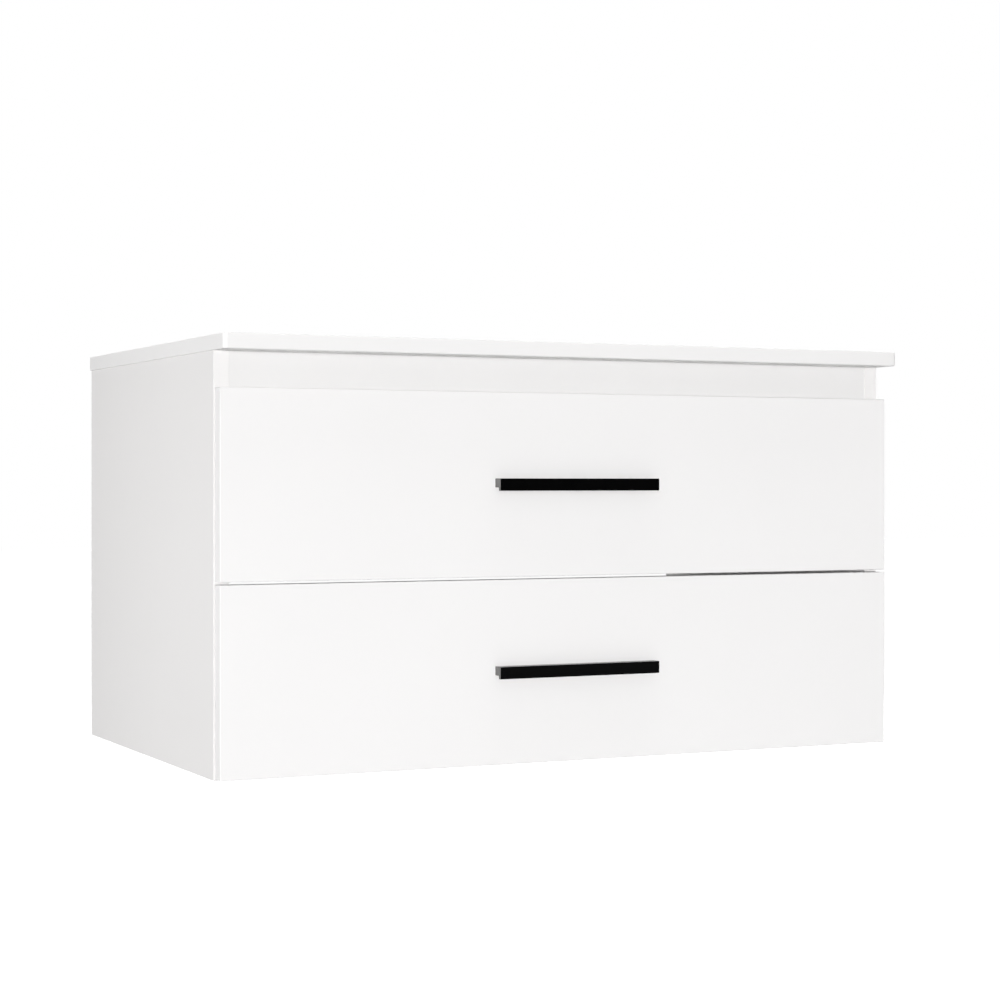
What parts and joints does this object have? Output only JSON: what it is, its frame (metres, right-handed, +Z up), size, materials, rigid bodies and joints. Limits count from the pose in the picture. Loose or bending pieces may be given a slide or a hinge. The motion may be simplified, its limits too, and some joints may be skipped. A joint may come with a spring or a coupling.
{
  "type": "floating bathroom vanity",
  "caption": "Wall-hung bathroom vanity: an open-backed cabinet with an overhanging counter, a shadow gap, bar handles and full-extension drawers on ball runners.",
  "frame": {"origin": "centre of the wall-screw hole pattern, on the wall face", "axes": "+X to the right seen from the front, +Y towards the wall, +Z up"},
  "size_m": [0.904, 0.562, 0.505],
  "materials": {
    "white_board": "white satin lacquer on board",
    "box_board": "white matt melamine",
    "base_sheet": "white coated hardboard",
    "black_metal": "matt black powder coat",
    "runner_steel": "zinc-plated rolled steel",
    "cage_steel": "bright spring steel",
    "steel": "zinc-plated steel",
    "zinc": "die-cast zinc",
    "beech": "raw beech",
    "bumper": "clear soft plastic"
  },
  "bodies": {
    "cabinet": {"side_panel_left": "white_board", "side_panel_right": "white_board", "bottom_panel": "white_board", "front_rail": "white_board", "hanging_rail": "white_board", "lower_rail": "white_board", "counter_top": "white_board", "cabinet_cams": "zinc", "cabinet_cam_bolts": "steel", "cabinet_dowels": "beech", "upper_cabinet_member_left": "runner_steel", "upper_cabinet_member_right": "runner_steel", "lower_cabinet_member_left": "runner_steel", "lower_cabinet_member_right": "runner_steel", "cabinet_member_screws": "steel"},
    "upper_drawer": {"upper_drawer_front": "white_board", "upper_box_side_left": "box_board", "upper_box_side_right": "box_board", "upper_box_back_left": "box_board", "upper_box_back_right": "box_board", "upper_siphon_wall_left": "box_board", "upper_siphon_wall_right": "box_board", "upper_siphon_wall_front": "box_board", "upper_drawer_base": "base_sheet", "upper_drawer_member_left": "runner_steel", "upper_drawer_member_right": "runner_steel", "upper_member_screws": "steel", "upper_handle": "black_metal", "upper_handle_screws": "steel", "upper_drawer_cams": "zinc", "upper_drawer_cam_bolts": "steel", "upper_drawer_dowels": "beech", "upper_box_screws": "steel", "upper_bumpers": "bumper"},
    "lower_drawer": {"lower_drawer_front": "white_board", "lower_box_side_left": "box_board", "lower_box_side_right": "box_board", "lower_box_back": "box_board", "lower_drawer_base": "base_sheet", "lower_drawer_member_left": "runner_steel", "lower_drawer_member_right": "runner_steel", "lower_member_screws": "steel", "lower_handle": "black_metal", "lower_handle_screws": "steel", "lower_drawer_cams": "zinc", "lower_drawer_cam_bolts": "steel", "lower_drawer_dowels": "beech", "lower_box_screws": "steel", "lower_bumpers": "bumper"},
    "upper_middle_members": {"upper_middle_member_left": "runner_steel", "upper_middle_member_right": "runner_steel"},
    "lower_middle_members": {"lower_middle_member_left": "runner_steel", "lower_middle_member_right": "runner_steel"},
    "upper_outer_ball_cages": {"upper_outer_cages": "cage_steel"},
    "upper_inner_ball_cages": {"upper_inner_cages": "cage_steel"},
    "lower_outer_ball_cages": {"lower_outer_cages": "cage_steel"},
    "lower_inner_ball_cages": {"lower_inner_cages": "cage_steel"}
  },
  "joints": [
    {"name": "upper_drawer_slide", "type": "slide", "parent": "cabinet", "child": "upper_drawer", "axis": [0, -1, 0], "range_m": [0, 0.45]},
    {"name": "lower_drawer_slide", "type": "slide", "parent": "cabinet", "child": "lower_drawer", "axis": [0, -1, 0], "range_m": [0, 0.45]},
    {"name": "upper_middle_slide", "type": "slide", "parent": "cabinet", "child": "upper_middle_members", "axis": [0, -1, 0], "range_m": [0, 0.225]},
    {"name": "upper_outer_cage_slide", "type": "slide", "parent": "cabinet", "child": "upper_outer_ball_cages", "axis": [0, -1, 0], "range_m": [0, 0.1125]},
    {"name": "upper_inner_cage_slide", "type": "slide", "parent": "cabinet", "child": "upper_inner_ball_cages", "axis": [0, -1, 0], "range_m": [0, 0.3375]},
    {"name": "lower_middle_slide", "type": "slide", "parent": "cabinet", "child": "lower_middle_members", "axis": [0, -1, 0], "range_m": [0, 0.225]},
    {"name": "lower_outer_cage_slide", "type": "slide", "parent": "cabinet", "child": "lower_outer_ball_cages", "axis": [0, -1, 0], "range_m": [0, 0.1125]},
    {"name": "lower_inner_cage_slide", "type": "slide", "parent": "cabinet", "child": "lower_inner_ball_cages", "axis": [0, -1, 0], "range_m": [0, 0.3375]}
  ],
  "couplings": [
    {"joint": "upper_middle_slide", "follows": "upper_drawer_slide", "ratio": 0.5},
    {"joint": "upper_outer_cage_slide", "follows": "upper_drawer_slide", "ratio": 0.25},
    {"joint": "upper_inner_cage_slide", "follows": "upper_drawer_slide", "ratio": 0.75},
    {"joint": "lower_middle_slide", "follows": "lower_drawer_slide", "ratio": 0.5},
    {"joint": "lower_outer_cage_slide", "follows": "lower_drawer_slide", "ratio": 0.25},
    {"joint": "lower_inner_cage_slide", "follows": "lower_drawer_slide", "ratio": 0.75}
  ]
}
